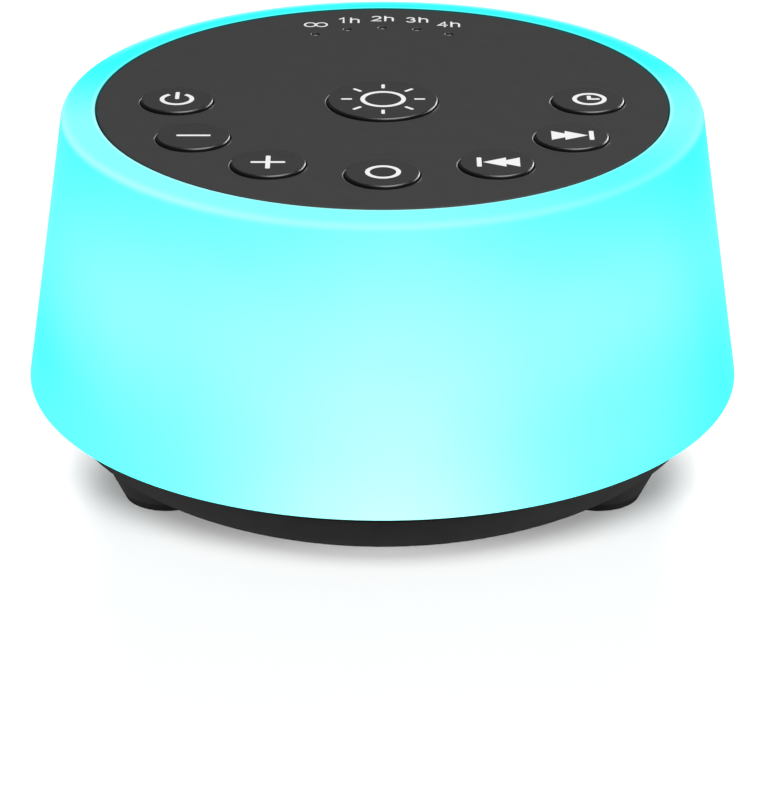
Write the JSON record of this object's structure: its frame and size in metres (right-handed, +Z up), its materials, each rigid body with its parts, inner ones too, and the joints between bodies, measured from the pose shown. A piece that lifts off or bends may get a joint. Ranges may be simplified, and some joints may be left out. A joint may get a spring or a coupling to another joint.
{
  "type": "white noise sound machine",
  "caption": "Round bedside sound machine: glowing tapered diffuser drum, dark control plate with round keys and timer lights, black bowl base on three feet with a down-firing speaker.",
  "frame": {"origin": "on the table, on the axis of the drum", "axes": "+Z up along the drum's axis, front towards -Y, +X to the right seen from the front"},
  "size_m": [0.1038, 0.1038, 0.0541],
  "materials": {
    "diffuser": "milky translucent plastic, satin, lit from inside",
    "plate_black": "fine matte moulded plastic",
    "key_black": "matte moulded plastic with rounded edges",
    "base_black": "satin moulded plastic",
    "foot_rubber": "matte rubber",
    "plunger_grey": "moulded nylon",
    "black_nylon": "moulded nylon",
    "white_nylon": "moulded nylon",
    "white_plastic": "white reflective plastic",
    "clear_plastic": "clear acrylic",
    "circuit_board": "green solder mask",
    "white_board": "white solder mask",
    "led_white": "white package with yellow-white lens",
    "steel": "plated steel",
    "screw_steel": "zinc-plated steel",
    "aluminium_can": "drawn can",
    "ferrite": "ground ferrite",
    "copper": "enamelled copper wire",
    "cone_paper": "pressed paper",
    "cloth": "woven cloth",
    "foam": "closed-cell foam",
    "cable_grey": "flat flexible cable",
    "cable_red": "insulated wire"
  },
  "bodies": {
    "housing": {"amplifier_chip": "black_nylon", "base_screws": "screw_steel", "base_shell": "base_black", "capacitors": "aluminium_can", "chassis": "white_plastic", "control_board": "circuit_board", "control_board_screws": "screw_steel", "diffuser_shell": "diffuser", "foot_pad_front_left": "foot_rubber", "foot_pad_front_right": "foot_rubber", "foot_pad_rear": "foot_rubber", "grille_cloth": "cloth", "indicator_leds": "led_white", "indicator_lenses": "clear_plastic", "lead_connectors": "white_nylon", "led_board": "white_board", "led_cable": "cable_grey", "led_packages": "led_white", "main_board": "circuit_board", "main_board_screws": "screw_steel", "port_bezel": "base_black", "port_board": "circuit_board", "port_screws": "screw_steel", "power_leads": "cable_red", "processor_chip": "black_nylon", "ribbon_cable": "cable_grey", "ribbon_headers": "white_nylon", "speaker_frame": "steel", "speaker_front_plate": "steel", "speaker_gasket": "foam", "speaker_leads": "cable_red", "speaker_magnet": "ferrite", "speaker_screws": "screw_steel", "speaker_spider": "cloth", "speaker_surround": "foot_rubber", "speaker_terminal": "circuit_board", "speaker_yoke": "steel", "switch_bodies": "black_nylon", "top_plate": "plate_black", "usb_socket": "steel", "usb_tongue": "black_nylon"},
    "key_power": {"key_power": "key_black", "plunger_power": "plunger_grey"},
    "key_volume_down": {"key_volume_down": "key_black", "plunger_volume_down": "plunger_grey"},
    "key_volume_up": {"key_volume_up": "key_black", "plunger_volume_up": "plunger_grey"},
    "key_mode": {"key_mode": "key_black", "plunger_mode": "plunger_grey"},
    "key_previous": {"key_previous": "key_black", "plunger_previous": "plunger_grey"},
    "key_next": {"key_next": "key_black", "plunger_next": "plunger_grey"},
    "key_timer": {"key_timer": "key_black", "plunger_timer": "plunger_grey"},
    "key_light": {"key_light": "key_black", "plunger_light": "plunger_grey"},
    "cone": {"speaker_cone": "cone_paper", "voice_coil": "copper", "dust_cap": "cone_paper"}
  },
  "joints": [
    {"name": "press_power", "type": "slide", "parent": "housing", "child": "key_power", "axis": [0, 0, -1], "range_m": [0, 0.0004], "stiffness_N_per_m": 3500},
    {"name": "press_volume_down", "type": "slide", "parent": "housing", "child": "key_volume_down", "axis": [0, 0, -1], "range_m": [0, 0.0004], "stiffness_N_per_m": 3500},
    {"name": "press_volume_up", "type": "slide", "parent": "housing", "child": "key_volume_up", "axis": [0, 0, -1], "range_m": [0, 0.0004], "stiffness_N_per_m": 3500},
    {"name": "press_mode", "type": "slide", "parent": "housing", "child": "key_mode", "axis": [0, 0, -1], "range_m": [0, 0.0004], "stiffness_N_per_m": 3500},
    {"name": "press_previous", "type": "slide", "parent": "housing", "child": "key_previous", "axis": [0, 0, -1], "range_m": [0, 0.0004], "stiffness_N_per_m": 3500},
    {"name": "press_next", "type": "slide", "parent": "housing", "child": "key_next", "axis": [0, 0, -1], "range_m": [0, 0.0004], "stiffness_N_per_m": 3500},
    {"name": "press_timer", "type": "slide", "parent": "housing", "child": "key_timer", "axis": [0, 0, -1], "range_m": [0, 0.0004], "stiffness_N_per_m": 3500},
    {"name": "press_light", "type": "slide", "parent": "housing", "child": "key_light", "axis": [0, 0, -1], "range_m": [0, 0.0004], "stiffness_N_per_m": 3500},
    {"name": "cone_travel", "type": "slide", "parent": "housing", "child": "cone", "axis": [0, 0, -1], "range_m": [-0.0008, 0.0008], "stiffness_N_per_m": 1500, "deforming": ["speaker_surround", "speaker_spider"]}
  ]
}
